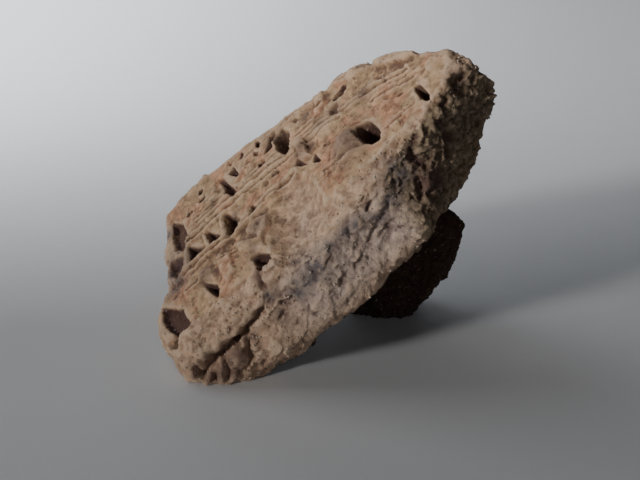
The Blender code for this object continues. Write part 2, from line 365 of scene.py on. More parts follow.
def turned_share(u, v, middle, half_sizes, turn):
    """How far out each place is, as a share of a turned ellipse's half sizes."""
    angle = math.radians(turn)
    du = u - middle[0]
    dv = v - middle[1]
    along = (du * math.cos(angle) + dv * math.sin(angle)) / half_sizes[0]
    across = (dv * math.cos(angle) - du * math.sin(angle)) / half_sizes[1]
    return np.hypot(along, across)


print("holes:", len(HOLES), "mounds:", len(MOUNDS))

# %% [markdown]
# ## Raised plates and the ledge
#
# The skin of the clay has flaked, so parts of it stand a little above the rest with
# sharp edges, and a ledge runs below the lowest row. A plate is an outline and a
# height, and a step over a third of a millimetre gives it its edge.

# %% Raised plates and the ledge
# Plates: the outline, and how high they stand
PLATES = (
    (((13.5, 9.0), (15.0, 10.6), (17.8, 8.8), (17.8, 6.4), (16.3, 5.0)), 0.55),
    (((12.2, 8.6), (16.3, 5.7), (16.7, 3.4), (14.1, 4.4), (12.3, 6.6)), 0.40),
    (((8.7, 9.4), (11.3, 7.4), (11.7, 3.8), (10.1, 2.3), (8.9, 5.5)), 0.45),
    (((5.4, 9.0), (8.1, 7.3), (8.4, 4.6), (5.5, 6.5)), 0.35),
    (((23.6, 16.6), (25.5, 16.4), (26.0, 11.9), (24.3, 12.0)), 0.75),
    (((37.2, 18.3), (39.4, 19.0), (43.5, 15.5), (43.0, 13.6), (39.8, 15.4)), 0.90),
    (((27.6, 18.6), (29.8, 19.4), (30.4, 21.8), (28.4, 22.4)), 0.50),
    (((34.6, 16.4), (36.8, 16.6), (38.0, 14.8), (35.8, 14.4)), 0.35),
    (((14.8, 20.8), (16.6, 20.6), (17.0, 18.8), (15.2, 18.6)), 0.30),
    (((7.8, 21.0), (9.6, 21.2), (10.2, 19.8), (8.4, 19.6)), 0.25),
)
PLATE_EDGE = 0.35

# The ledge below the lowest row: its top edge, where it starts and ends, and its drop
LEDGE_TOP = 10.2
LEDGE_RIM = (10.5, 10.0)
LEDGE_BOTTOM = 6.0
LEDGE_END = (24.0, 20.0)
LEDGE_DROP = 0.45
print("plates:", len(PLATES), "ledge drop:", LEDGE_DROP, "mm")

# %% [markdown]
# ## Ruled lines
#
# A point drawn through wet clay leaves a groove, and pushes up a little ridge beside
# it. A line could be a curve with a bevel, but a groove has to be cut and the ridge
# has to grow out of the face. So `score` gives both as heights, from the distance to
# the path of the line.

# %% Ruled lines
# The places the lines run through, the depth, and the ridge's height
LINES = (
    (((2.8, 10.1), (6.9, 10.7), (11.0, 10.6), (17.2, 11.6), (23.0, 11.6)), 0.50, 0.45),
    (((4.1, 16.5), (9.1, 16.9), (13.9, 17.1), (24.0, 16.6), (34.4, 15.3), (41.0, 13.2)), 0.55, 0.38),
    (((4.0, 15.5), (11.0, 15.9), (16.0, 15.9), (24.0, 15.3), (31.0, 14.6)), 0.40, 0.30),
    (((4.4, 17.6), (9.2, 17.9), (16.0, 18.0), (21.4, 18.2), (27.0, 18.2)), 0.42, 0.30),
    (((5.2, 18.5), (9.2, 18.8), (11.0, 19.1)), 0.36, 0.26),
    (((5.4, 19.5), (9.6, 19.7)), 0.30, 0.22),
    (((14.0, 22.6), (24.0, 22.9), (33.0, 21.0)), 0.36, 0.22),
    (((35.6, 13.0), (39.0, 12.3), (42.0, 11.2)), 0.26, 0.22),
    (((27.0, 8.0), (30.0, 7.2), (36.0, 6.4), (40.0, 7.0)), 0.26, 0.24),
    (((3.0, 7.2), (9.0, 7.4), (13.0, 6.6)), 0.24, 0.20),
)
LINE_HALF_WIDTH = 0.18
RIDGE_AWAY = 0.42


def way_from_path(places, path):
    """The distance of each place from a bent path, in as many dimensions as it has."""
    nearest = np.full(len(places), 1e9)
    for start, end in zip(path, path[1:]):
        start = np.array(start)
        leg = np.array(end) - start
        along = np.clip((places - start) @ leg / (leg @ leg), 0.0, 1.0)
        apart = np.linalg.norm(places - start - along[:, None] * leg, axis=1)
        nearest = np.minimum(nearest, apart)
    return nearest


def score(u, v, path, depth, ridge):
    """Height of a ruled line: a groove with a low ridge on each side of it."""
    away = way_from_path(np.stack((u, v), 1), path)
    groove = np.exp(-((away / LINE_HALF_WIDTH) ** 2))
    ridges = np.exp(-(((away - RIDGE_AWAY) / LINE_HALF_WIDTH) ** 2))
    return ridge * ridges - depth * groove


print("ruled lines:", len(LINES))

# %% [markdown]
# ## The face as a whole
#
# Hand-made marks are never quite straight. Before a mark is looked up, its place is
# moved a little by smooth noise, so that edges and lines wander. The ruled lines
# wander less, because each was drawn in one go. Pits and holes come last, and a pit
# flattens what it meets.

# %% The height of the face
WOBBLE = 0.28
WOBBLE_WAVE = 2.6
WOBBLE_OFFSET = 7.0
LINE_WOBBLE = 0.3
PIT_BRIM = 0.1
HOLE_WALL = (0.75, 1.08)


def flattened(u, v):
    """Places pressed flat onto the face."""
    return np.stack((u, v, np.zeros(len(u))), 1)


def wobbles(u, v):
    """How far the marks wander along u and along v at each place."""
    flat = flattened(u, v)
    return WOBBLE * cloud(flat, WOBBLE_WAVE), WOBBLE * cloud(flat, WOBBLE_WAVE, WOBBLE_OFFSET)


def raise_mounds_and_plates(height, u, v):
    """Adds the mounds and plates to a height."""
    for middle, half_sizes, turn, rise in MOUNDS:
        height += rise * np.exp(-turned_share(u, v, middle, half_sizes, turn) ** 2)
    for corners, rise in PLATES:
        height += rise * steps(0.0, PLATE_EDGE, inside(corners, u, v))


def face_height(u, v, wobble_u, wobble_v):
    """The height of the inscribed face with all its marks."""
    wobbly_u = u + wobble_u
    wobbly_v = v + wobble_v
    height = np.zeros(len(u))
    for path, depth, ridge in LINES:
        height += score(u + LINE_WOBBLE * wobble_u, v + LINE_WOBBLE * wobble_v, path, depth, ridge)
    raise_mounds_and_plates(height, wobbly_u, wobbly_v)
    ledge = steps(*LEDGE_RIM, wobbly_v) * steps(LEDGE_BOTTOM, LEDGE_TOP, wobbly_v)
    height -= LEDGE_DROP * ledge * steps(*LEDGE_END, u)
    for corners, deepest, depth, steepness, _ in PITS:
        sunk = pit(wobbly_u, wobbly_v, corners, deepest, depth, steepness)
        in_pit = np.minimum(height, PIT_BRIM) * (1.0 - sunk / depth) - sunk
        height = np.where(sunk > 0.0, in_pit, height)
    for middle, half_sizes, turn, depth in HOLES:
        way_out = turned_share(wobbly_u, wobbly_v, middle, half_sizes, turn)
        height -= depth * (1.0 - steps(*HOLE_WALL, way_out))
    return height


print("marks wander by up to", WOBBLE, "mm")

# %% Press the marks into the face
# Swells of the whole face: wave, rise and offset
SWELLS = ((9.0, 0.30, 3.0), (3.8, 0.22, 5.0))
WHOLE_FACE = (-1.0, -0.1)

u, v, w = places[chosen].T
wobble_u, wobble_v = wobbles(u, v)
swell = sum(rise * cloud(flattened(u, v), wave, offset) for wave, rise, offset in SWELLS)
whole = steps(*WHOLE_FACE, floor)
target = floor + swell + whole * face_height(u, v, wobble_u, wobble_v)
places[chosen, 2] += on_face[chosen] * (target - w)
set_coordinates(skin, to_row(places))
print("heights on the face:", round(target.min(), 2), "to", round(target.max(), 2), "mm")

# %% [markdown]
# ## A second, even skin
#
# Pressing a pit stretches the triangles of its walls. The surface is skinned again
# with even facets before the breaks get their roughness, so that the steep walls can
# be as rough as the rest.

# %% A second, even skin
SECOND_FACET = 0.00014
SECOND_MELTING = 2

skin = reskin(piece, SECOND_FACET, SECOND_MELTING)
row_places = coordinates(skin)
normals = normals_of(skin)
places = to_face(row_places)
print("second skin:", len(skin.vertices), "vertices")

# %% [markdown]
# ## Which surface is which
#
# Four kinds of surface meet on the fragment: the inscribed face, the fresh grey break
# in front, the dark and much rougher broken end on the right, and the old underside
# with the knob. They could be painted by hand. Here their borders follow from the
# place of a vertex and the way it looks, and noise makes the borders ragged. The dark
# end also takes in what turns right, away from the key light, and the underside looks
# down, so the dark colours of both are partly painted shade.

# %% Where the dark end begins
# The dark end: where it begins along u deep in the break, how much later at the face,
# and the depth over which that fades
DARK_START = 31.9
DARK_LATER = 16.0
DARK_FADE = 0.7

# The back right corner, where the edge of the face dips: its start, width and slope
CORNER_START = 7.0
CORNER_WIDTH = 3.0
CORNER_SLOPE = 1.8


def depth_under_edge(v, w):
    """Height over the edge of the face, which is below 0 in the break."""
    return w + CORNER_SLOPE * np.clip(v - CORNER_START, 0.0, CORNER_WIDTH)


def dark_edge(v, w):
    """Where along u the dark end begins, at each place across and each depth."""
    depth = np.minimum(depth_under_edge(v, w), 0.0)
    return DARK_START + DARK_LATER * np.exp(depth / DARK_FADE)


edge_at_face, edge_below = dark_edge(np.zeros(2), np.array((0.0, -5.0)))
print("the dark end begins at u", round(edge_at_face, 1), "mm, and 5 mm deep at", round(edge_below, 1))

# %% Which surface is which
# Ragged borders: wave, rise and offset
BORDER_NOISES = ((2.4, 1.3, 90.0), (0.9, 0.6, 91.0))

# Pairs of values over which one surface turns into the next
DARK_BORDER = (-1.0, 1.6)
TURNED_RIGHT = (0.45, 0.75)
RIGHT_PART = (26.0, 31.0)
UNDER_EDGE = (-0.8, -2.6)
UNDERSIDE = (-9.0, -10.5)
LOOKS_DOWN = (0.50, 0.80)
KNOB_TOP = (-12.5, -14.0)

FACE_LEAN = 0.25
UNDERSIDE_START = 30.0
UNDERSIDE_TAPER = 0.18
KNOB_MIDDLE = 24.0
KNOB_TAPER = 0.1


def region_shares(face_places, normals):
    """How far each vertex belongs to the face, the dark end and the old underside."""
    u, v, w = face_places.T
    looks = normals @ face_axes.T
    on_face = face_share(face_places)
    ragged = sum(rise * cloud(face_places, wave, offset) for wave, rise, offset in BORDER_NOISES)
    to_right = steps(*DARK_BORDER, u + ragged - dark_edge(v, w))
    # Surfaces turned right, away from the key light, join the dark end: painted shade
    turned = steps(*TURNED_RIGHT, normals[:, 0] - FACE_LEAN * np.maximum(looks[:, 2], 0.0))
    deep_enough = steps(*UNDER_EDGE, depth_under_edge(v, w))
    to_right = np.maximum(to_right, turned * steps(*RIGHT_PART, u) * deep_enough)
    under_slab = steps(*UNDERSIDE, w + UNDERSIDE_TAPER * (u - UNDERSIDE_START).clip(0.0))
    # The old underside looks down and lies under the slab: its dark brown is partly painted shade
    old = under_slab * steps(*LOOKS_DOWN, -looks[:, 2])
    knob = steps(*KNOB_TOP, w + KNOB_TAPER * np.abs(u - KNOB_MIDDLE))
    old = np.maximum(old, knob) * (1.0 - on_face)
    dark = to_right * (1.0 - on_face) * (1.0 - old)
    return on_face, dark, old


on_face, dark, old = region_shares(places, normals)
fresh = (1.0 - on_face) * (1.0 - dark) * (1.0 - old)
for name, share in (("face", on_face), ("fresh break", fresh), ("dark end", dark), ("old", old)):
    print(name, round(100 * share.mean()), "% of the surface")

# %% [markdown]
# ## Layers of noise
#
# Where fired clay breaks it is sandy and lumpy, because it parts around grains of
# temper. One noise alone looks like a cloud, so each kind of surface gets several,
# each finer and lower than the last. The front break is also streaked: its noise is
# read at places that are squeezed along one direction, which draws it out into ribs.

# %% Layers of noise
# Wave and height of each noise in millimetres, and where in the noise it starts
BREAK_NOISES = ((4.0, 0.36), (1.7, 0.16), (0.7, 0.09), (0.36, 0.07))
DARK_NOISES = ((3.4, 0.50), (1.5, 0.24), (0.7, 0.15), (0.36, 0.10))
FACE_NOISES = ((1.6, 0.08), (0.6, 0.07), (0.32, 0.06))
OLD_NOISES = ((3.0, 0.50), (1.2, 0.20), (0.5, 0.08))
STREAK_NOISES = ((1.5, 0.14), (0.7, 0.13), (0.4, 0.08))
BREAK_OFFSET = 1.0
STREAK_OFFSET = 11.0
DARK_OFFSET = 21.0
FACE_OFFSET = 41.0
OLD_OFFSET = 61.0
OFFSET_STEP = 5.0
STREAK_TURN = 23.0
STREAK_STRETCH = 2.6


def rough(face_places, noises, offset):
    """The height of several noises, each finer than the last."""
    height = np.zeros(len(face_places))
    for number, (wave, rise) in enumerate(noises):
        height += rise * cloud(face_places, wave, offset + OFFSET_STEP * number)
    return height


def streaked(face_places):
    """Places squeezed along one direction, so that noise there makes streaks."""
    u, v, w = face_places.T
    angle = math.radians(STREAK_TURN)
    along = u * math.cos(angle) + w * math.sin(angle)
    across = w * math.cos(angle) - u * math.sin(angle)
    return np.stack((along / STREAK_STRETCH, v, across), 1)


print("noises:", len(BREAK_NOISES + DARK_NOISES + FACE_NOISES + OLD_NOISES + STREAK_NOISES))

# %% [markdown]
# ## Chips
#
# Noise is soft, but broken clay has small flat facets. A Voronoi pattern has such
# cells: here random vertices are their middles, a tree of those middles finds the
# nearest one to each vertex, and every cell gets a height and a tilt of its own.

# %% Chips
# How far apart, how far they stand out, their slope, and the seed
BREAK_CHIPS = ((1.50, 0.10, 0.14, 11), (0.65, 0.10, 0.28, 12))
DARK_CHIPS = ((1.30, 0.26, 0.30, 13), (0.60, 0.17, 0.38, 14))
FACE_CHIPS = ((1.90, 0.10, 0.09, 15),)
CHIPS_PER_AREA = 1.6
CHIP_SPREAD = 0.6
BENDING = 0.25
BENDING_WAVE = 0.8
BENDING_OFFSET = 70.0


def chips(face_places, apart, rise, slope, seed):
    """The height of small flat chips, each with its own height and its own tilt."""
    chooser = np.random.default_rng(seed)
    size = np.ptp(face_places, axis=0)
    count = int(CHIPS_PER_AREA * (size[0] * size[1] + size[0] * size[2]) / apart**2)
    middles = face_places[chooser.choice(len(face_places), count, replace=False)]
    heights = rise * chooser.uniform(-0.5, 0.5, count)
    tilts = slope * chooser.normal(0.0, CHIP_SPREAD, (count, 3))
    finder = kdtree.KDTree(count)
    for number, middle in enumerate(middles):
        finder.insert(middle, number)
    finder.balance()
    owners = np.array([finder.find(place)[1] for place in face_places])
    leaning = np.einsum("ij,ij->i", face_places - middles[owners], tilts[owners])
    return heights[owners] + np.clip(leaning, -rise, rise)


def chipped(face_places, rows):
    """The height of chips of several sizes."""
    bent = face_places + BENDING * cloud(face_places, BENDING_WAVE, BENDING_OFFSET)[:, None]
    height = np.zeros(len(face_places))
    for apart, rise, slope, seed in rows:
        height += chips(bent, apart, rise, slope, seed)
    return height


print("sizes of chips:", [row[0] for row in BREAK_CHIPS + DARK_CHIPS + FACE_CHIPS], "mm")

# %% [markdown]
# ## Crevices and the swollen rim
#
# A dark crevice runs up from the toe, and smaller ones cross the breaks. The lower
# rim of the break swells out. Each is a path in the face frame, and the surface
# sinks or rises by how near it is to the path.

# %% Crevices and the swollen rim
# Crevices: their path, half width and depth
CREVICES = (
    (((12.0, -2.0, -3.1), (9.8, -2.3, -3.4), (6.8, -2.8, -3.8)), 0.45, 1.5),
    (((6.8, -2.8, -3.8), (4.5, -3.2, -3.6), (2.4, -3.4, -3.4), (0.3, -4.0, -4.1)), 0.65, 1.7),
    (((30.4, 0.7, -2.4), (29.3, 0.6, -2.8)), 0.20, 1.0),
    (((14.9, 2.4, -0.5), (14.5, 0.4, -0.8), (14.3, -0.5, -1.6)), 0.35, 0.7),
    (((3.4, -3.1, -3.2), (2.4, -4.0, -4.6), (1.4, -4.4, -5.4)), 0.45, 1.0),
    (((4.5, -3.2, -4.0), (3.9, -4.0, -5.6), (3.0, -4.4, -6.2)), 0.35, 0.9),
    (((8.9, -2.6, -3.9), (7.4, -3.2, -5.4), (6.8, -3.6, -6.6)), 0.35, 0.8),
    (((0.8, -3.2, -2.6), (0.2, -3.9, -3.6)), 0.40, 0.8),
    (((18.2, 6.0, -1.0), (17.7, 4.6, -0.4), (17.0, 3.4, -0.4)), 0.30, 0.6),
    (((38.2, 3.4, -1.0), (36.6, 3.0, -2.6), (37.0, 2.4, -4.6)), 0.50, 0.8),
    (((42.6, 5.6, -1.6), (40.6, 4.6, -3.6), (39.6, 4.0, -6.2)), 0.55, 0.9),
    (((45.4, 7.0, -1.2), (44.0, 6.6, -2.6)), 0.80, 0.9),
    (((35.2, 1.6, -5.2), (33.6, 0.8, -7.0), (33.0, 0.8, -9.0)), 0.50, 0.8),
)
CREVICE_RAGGEDNESS = 0.6
CREVICE_WAVE = 0.9
CREVICE_OFFSET = 60.0

# The rim: the path it swells along, its radius and how far it rises
RIM_PATH = (
    (11.0, -3.2, -8.2), (16.0, -2.2, -9.4), (22.0, -1.6, -9.6), (25.0, -0.8, -9.8),
    (29.0, 0.2, -9.6), (32.3, 0.8, -8.8),
)
RIM_RADIUS = 2.2
RIM_RISE = 1.15


def sink_crevices(lift, share):
    """Takes the crevices out of a height, by a share for each place."""
    ragged = 1.0 + CREVICE_RAGGEDNESS * cloud(places, CREVICE_WAVE, CREVICE_OFFSET)
    for path, half_width, depth in CREVICES:
        away = way_from_path(places, path) / (half_width * ragged)
        lift -= depth * np.exp(-(away**2)) * share


print("crevices:", len(CREVICES), "deepest", max(depth for _, _, depth in CREVICES), "mm")

# %% Roughen the breaks
CHIP_SQUEEZE = (1.6, 1.0, 1.0)
DARK_STREAKS = 0.5
OLD_CHIPS = 0.8

lift = fresh * rough(places, BREAK_NOISES, BREAK_OFFSET)
lift += (fresh + DARK_STREAKS * dark) * rough(streaked(places), STREAK_NOISES, STREAK_OFFSET)
lift += dark * rough(places, DARK_NOISES, DARK_OFFSET)
lift += on_face * rough(places, FACE_NOISES, FACE_OFFSET)
lift += old * rough(places, OLD_NOISES, OLD_OFFSET)
lift += fresh * chipped(streaked(places) * CHIP_SQUEEZE, BREAK_CHIPS)
lift += (dark + OLD_CHIPS * old) * chipped(places, DARK_CHIPS)
lift += on_face * chipped(places, FACE_CHIPS)
lift += RIM_RISE * np.exp(-((way_from_path(places, RIM_PATH) / RIM_RADIUS) ** 2))
sink_crevices(lift, 1.0 - on_face)
moved = row_places + normals * (lift * MM)[:, None]

# Nothing may sink through the table that the piece lies on
moved[:, 2] = np.maximum(moved[:, 2], 0.0)
set_coordinates(skin, moved)
print("relief of the breaks:", round(lift.min(), 2), "to", round(lift.max(), 2), "mm")

# %% [markdown]
# ## Fewer triangles
#
# The skin is even, so its flatter parts have more triangles than they need. A
# Decimate modifier melts those away first and keeps the sharp ones.

# %% Fewer triangles
MOST_TRIANGLES = 158000

triangles = sum(len(face.vertices) - 2 for face in skin.polygons)
thin = piece.modifiers.new("Fewer triangles", "DECIMATE")
thin.ratio = min(1.0, MOST_TRIANGLES / triangles)
skin = baked(piece)
skin.polygons.foreach_set("use_smooth", [True] * len(skin.polygons))
print("triangles:", triangles, "->", sum(len(face.vertices) - 2 for face in skin.polygons))

# %% [markdown]
# ## Hollows and edges
#
# Soil stays in hollows, and painted shade darkens them too, and edges wear pale. Both
# are found by comparing each vertex with its surroundings, averaged over a small patch:
# a vertex under the average lies in a hollow, and one over it stands on an edge.
# Blender's Pointiness does much the same, but only inside a shader, so it can't be
# exported.

# %% Hollows and edges
PATCH_ROUNDS = 10


def patch_average(mesh, values, rounds):
    """Values averaged over neighbours a number of times."""
    edges = np.zeros(len(mesh.edges) * 2, np.int32)
    mesh.edges.foreach_get("vertices", edges)
    first, second = edges.reshape(-1, 2).T
    size = len(mesh.vertices)
    links = np.bincount(first, minlength=size) + np.bincount(second, minlength=size) + 1.0
    for _ in range(rounds):
        total = values.copy()
        for column in range(values.shape[1]):
            total[:, column] += np.bincount(first, values[second, column], minlength=size)
            total[:, column] += np.bincount(second, values[first, column], minlength=size)
        values = total / links[:, None]
    return values


row_places = coordinates(skin)
places = to_face(row_places)
broad = patch_average(skin, row_places, PATCH_ROUNDS)
broad_normals = patch_average(skin, normals_of(skin), PATCH_ROUNDS)
broad_normals /= np.linalg.norm(broad_normals, axis=1)[:, None]
on_face, dark, old = region_shares(places, broad_normals)
hollow = np.einsum("ij,ij->i", broad - row_places, broad_normals) / MM
print("hollows up to", round(hollow.max(), 2), "mm, edges up to", round(-hollow.min(), 2), "mm")

# %% [markdown]
# ## Tan skin and grey core
#
# The face has the tan skin of the fired clay. Deeper in the break the clay is grey,
# because the fire didn't reach it fully. The spall lies within the face, but it is
# broken clay, so it counts as break.

# %% Tan skin and grey core
SPALL_EDGE = (-0.15, -0.8)
GREY_DEPTH = (-1.3, -2.9)
GREY_BOTTOM = (-10.5, -7.5)
GREY_START = (10.0, 18.0)

u, v, w = places.T
in_spall = steps(*SPALL_EDGE, spall_height(u, v)) * on_face
skin_share = on_face * (1.0 - in_spall)
ragged_depth = w + 0.5 * cloud(places, 2.2, 80.0)
ragged_start = u + 1.5 * cloud(places, 3.0, 81.0)
depth_band = steps(*GREY_DEPTH, ragged_depth) * steps(*GREY_BOTTOM, w)
along_band = steps(*GREY_START, ragged_start)
grey = depth_band * along_band * (1.0 - on_face * (1.0 - in_spall))
print("tan skin:", round(100 * skin_share.mean()), "%, grey core:", round(100 * grey.mean()), "%")

# %% [markdown]
# ## Stains, soil, greyish patches and painted shade
#
# Bluish dark stains run through the grey core, brown soil sits at the toe, and some
# patches of the face are greyish brown. The soil spots and the greyish patches are
# partly painted shade. Each blot is a ball in space, and whatever of the surface lies
# in it takes the colour, with a ragged rim.

# %% Stains, soil, greyish patches and painted shade
# Bluish dark stains in the break: the place and the radius, in millimetres
STAINS = (
    ((20.5, -1.0, -3.6), 1.6), ((19.3, -1.5, -4.3), 1.2), ((19.2, 0.3, -1.8), 0.7),
    ((27.4, 0.1, -3.2), 0.9), ((25.8, 0.1, -2.9), 0.9), ((23.1, -0.2, -3.4), 1.1),
    ((34.1, 1.9, -2.4), 2.0), ((31.6, 0.7, -3.4), 1.0), ((14.0, -0.8, -2.6), 0.8),
    ((29.5, 0.4, -4.4), 1.0), ((16.8, -1.4, -4.6), 1.1), ((18.4, -1.2, -4.0), 1.3),
    ((1.4, 12.8, -0.4), 2.6), ((1.0, 9.6, -0.4), 1.9), ((-0.3, 20.6, 0.0), 1.0),
)

# Brown soil and painted shade at the toe, in the break and on the dark end: the place and the radius
SOIL_AND_SHADE_SPOTS = (
    ((2.2, -4.0, -4.6), 1.6), ((3.4, -3.2, -3.3), 1.1), ((0.6, -3.4, -3.1), 1.0),
    ((4.2, -4.0, -6.2), 1.2), ((8.6, -2.7, -4.1), 1.2), ((6.2, -3.2, -4.8), 1.3),
    ((4.6, -3.5, -4.6), 1.3), ((14.6, 0.8, -0.5), 0.7), ((14.4, -0.2, -1.2), 0.6),
    ((45.2, 6.8, -1.6), 1.2), ((36.4, 2.0, -6.2), 2.6), ((36.6, 2.6, -3.4), 0.9),
    ((40.4, 4.8, -5.0), 1.1),
)

# Greyish brown patches of the face, partly painted shade: the place and the radius
TAUPE_AND_SHADE_SPOTS = (
    ((31.3, 8.4, 0.7), 3.0), ((24.8, 14.2, 0.4), 1.6), ((15.9, 7.8, 0.2), 1.9), ((6.9, 6.9, 0.0), 1.5),
    ((12.2, 13.4, 0.0), 0.9), ((30.6, 17.0, 0.0), 1.2), ((9.0, 18.4, 0.0), 1.0), ((28.0, 16.6, 0.0), 1.2),
    ((35.0, 15.6, 0.3), 1.3), ((20.6, 21.4, 0.0), 1.4), ((14.8, 4.6, 0.0), 1.0), ((26.5, 20.4, 0.0), 1.1),
)
BLOT_RAGGEDNESS = 0.5
BLOT_WAVE = 1.1
BLOT_OFFSET = 65.0


def blots(spots):
    """How near each vertex is to the middle of the nearest blot."""
    near = np.zeros(len(places))
    ragged = 1.0 + BLOT_RAGGEDNESS * cloud(places, BLOT_WAVE, BLOT_OFFSET)
    for place, radius in spots:
        away = np.linalg.norm(places - np.array(place), axis=1) / (radius * ragged)
        near = np.maximum(near, np.exp(-(away**2)))
    return near


stained = blots(STAINS)
taupe_and_shade = blots(TAUPE_AND_SHADE_SPOTS)
spotted = blots(SOIL_AND_SHADE_SPOTS)
print("blots:", len(STAINS) + len(TAUPE_AND_SHADE_SPOTS) + len(SOIL_AND_SHADE_SPOTS))

# %% [markdown]
# ## Soil and painted shade in pits and cracks
#
# Soil fills the pits, the round holes and the crevices, and a thin film of it lies in
# every small hollow. The same dark colour is also painted shade, which stands in for the
# shadow in these recesses. The pits are looked up with the same wobble as before, so
# that the soil follows their real edges.

# %% Soil and painted shade in pits and cracks
PIT_SOIL_AND_SHADE_DEPTH = (0.08, 0.35)
HOLE_SOIL_AND_SHADE = (0.90, 1.10)
PIT_FADE = (0.05, 0.5)
CRACK_HOLLOW = (-0.05, 0.12)
CRACK_WIDTH = 1.7
CRACK_WIDER = 0.35
SPOT_SOIL_AND_SHADE = 0.9
BREAK_SOIL_AND_SHADE = 0.60
DARK_END_SOIL_AND_SHADE = 0.25
BREAK_HOLLOW = (0.03, 0.20)
FACE_SOIL_AND_SHADE = 0.75
FACE_HOLLOW = (0.03, 0.15)


def pit_soil_and_shade(u, v, wobble_u, wobble_v):
    """How much soil and painted shade lies at each place of the face, in the pits and holes."""
    wobbly_u = u + wobble_u
    wobbly_v = v + wobble_v
    soil_and_shade = np.zeros(len(u))
    for corners, deepest, depth, steepness, share in PITS:
        sunk = pit(wobbly_u, wobbly_v, corners, deepest, depth, steepness)
        soil_and_shade = np.maximum(soil_and_shade, share * steps(*PIT_SOIL_AND_SHADE_DEPTH, sunk / depth))
    for middle, half_sizes, turn, _ in HOLES:
        way_out = turned_share(wobbly_u, wobbly_v, middle, half_sizes, turn)
        soil_and_shade = np.maximum(soil_and_shade, 1.0 - steps(*HOLE_SOIL_AND_SHADE, way_out))
    return soil_and_shade


def crack_soil_and_shade():
    """How much soil and painted shade lies in the crevices."""
    soil_and_shade = np.zeros(len(places))
    for path, half_width, depth in CREVICES:
        away = way_from_path(places, path) / (CRACK_WIDTH * half_width + CRACK_WIDER * depth)
        soil_and_shade = np.maximum(soil_and_shade, np.exp(-(away**2)))
    return soil_and_shade


in_pits = pit_soil_and_shade(u, v, *wobbles(u, v)) * steps(*PIT_FADE, on_face)
in_cracks = crack_soil_and_shade() * ((1.0 - on_face) * steps(*CRACK_HOLLOW, hollow))
soil_and_shade = np.maximum(np.maximum(in_pits, in_cracks), SPOT_SOIL_AND_SHADE * spotted)
break_hollow_soil_and_shade = (BREAK_SOIL_AND_SHADE + DARK_END_SOIL_AND_SHADE * dark) * steps(*BREAK_HOLLOW, hollow) * (1.0 - skin_share)
soil_and_shade = np.maximum(soil_and_shade, break_hollow_soil_and_shade)
soil_and_shade = np.maximum(soil_and_shade, FACE_SOIL_AND_SHADE * steps(*FACE_HOLLOW, hollow) * skin_share)
print("soil on", round(100 * (soil_and_shade > 0.5).mean()), "% of the vertices")

# %% [markdown]
# ## Store the finishes
#
# The shares are stored on the mesh as attributes. A material can read them by name,
# they stay with the mesh when it is exported, and no image texture is needed.
# "grit" is for the grains below, and "paleness" dims those on the dark end and the
# old underside, whose dark colours are partly painted shade.

# %% Store the finishes
EDGE_WEAR = (0.02, 0.16)
DARK_LESS_WEAR = 0.45
OLD_LESS_WEAR = 0.95
FACE_GRIT = 0.12
OLD_LESS_GRIT = 0.7
PALEST = 0.8
DARK_LESS_PALE = 0.6
OLD_LESS_PALE = 0.8


def store(mesh, name, values):
    """A value for each vertex that materials can read by its name."""
    made = mesh.attributes.new(name, "FLOAT", "POINT")
    made.data.foreach_set("value", np.clip(values, 0.0, 1.0).astype(np.float32))


worn = steps(*EDGE_WEAR, -hollow) * (1.0 - in_pits)
store(skin, "skin", skin_share)
store(skin, "grey", grey)
store(skin, "dark_end", dark)
store(skin, "old", old)
store(skin, "soil_and_shade", soil_and_shade)
store(skin, "wear", worn * (1.0 - DARK_LESS_WEAR * dark - OLD_LESS_WEAR * old))
store(skin, "stain", stained)
store(skin, "taupe_and_shade", taupe_and_shade)
store(skin, "paleness", PALEST - DARK_LESS_PALE * dark - OLD_LESS_PALE * old)
store(skin, "grit", (1.0 - on_face + FACE_GRIT * on_face) * (1.0 - OLD_LESS_GRIT * old))
print("attributes:", [a.name for a in skin.attributes if a.data_type == "FLOAT"])

# %% [markdown]
# ## Building node trees by script
#
# A node tree is a set of nodes and the links between their sockets. In the editor
# each is added by hand. Here short helpers add one kind of node each and return its
# result, so that a line of the script reads like a line of a recipe.

# %% Nodes, sums and mixes
def add_socket(group, name, kind, direction, value=None):
    """A named input or output of a node group."""
    made = group.interface.new_socket(name, in_out=direction, socket_type=kind)
    if value is not None:
        made.default_value = value
    return made


def add_node(tree, kind, **settings):
    """A node with its settings."""
    made = tree.nodes.new(kind)
    for name, value in settings.items():
        setattr(made, name, value)
    return made


def add_math(tree, operation, first, second):
    """A Math node for two sockets or numbers, and its result."""
    made = add_node(tree, "ShaderNodeMath", operation=operation)
    for socket, value in zip(made.inputs, (first, second)):
        if isinstance(value, (int, float)):
            socket.default_value = value
        else:
            tree.links.new(value, socket)
    return made.outputs["Value"]


def add_mix(tree, share, first, second, blend="MIX"):
    """A colour mix of two sockets or colours, and its result."""
    made = add_node(tree, "ShaderNodeMix", data_type="RGBA", blend_type=blend)
    for socket, value in ((made.inputs["Factor"], share), (made.inputs["A"], None)):
        if value is None:
            continue
        if isinstance(value, (int, float)):
            socket.default_value = value
        else:
            tree.links.new(value, socket)
    for socket, value in ((made.inputs[6], first), (made.inputs[7], second)):
        if isinstance(value, tuple):
            socket.default_value = value
        else:
            tree.links.new(value, socket)
    return made.outputs[2]


print("node helpers are ready, and there are", len(bpy.data.node_groups), "groups")

# %% Ranges and noises
def add_range(tree, value, low, high, new_low=0.0, new_high=1.0):
    """A smooth rise between two values."""
    made = add_node(tree, "ShaderNodeMapRange", interpolation_type="SMOOTHSTEP")
    tree.links.new(value, made.inputs["Value"])
    for name, number in (
        ("From Min", low), ("From Max", high), ("To Min", new_low), ("To Max", new_high),
    ):
        made.inputs[name].default_value = number
    return made.outputs["Result"]


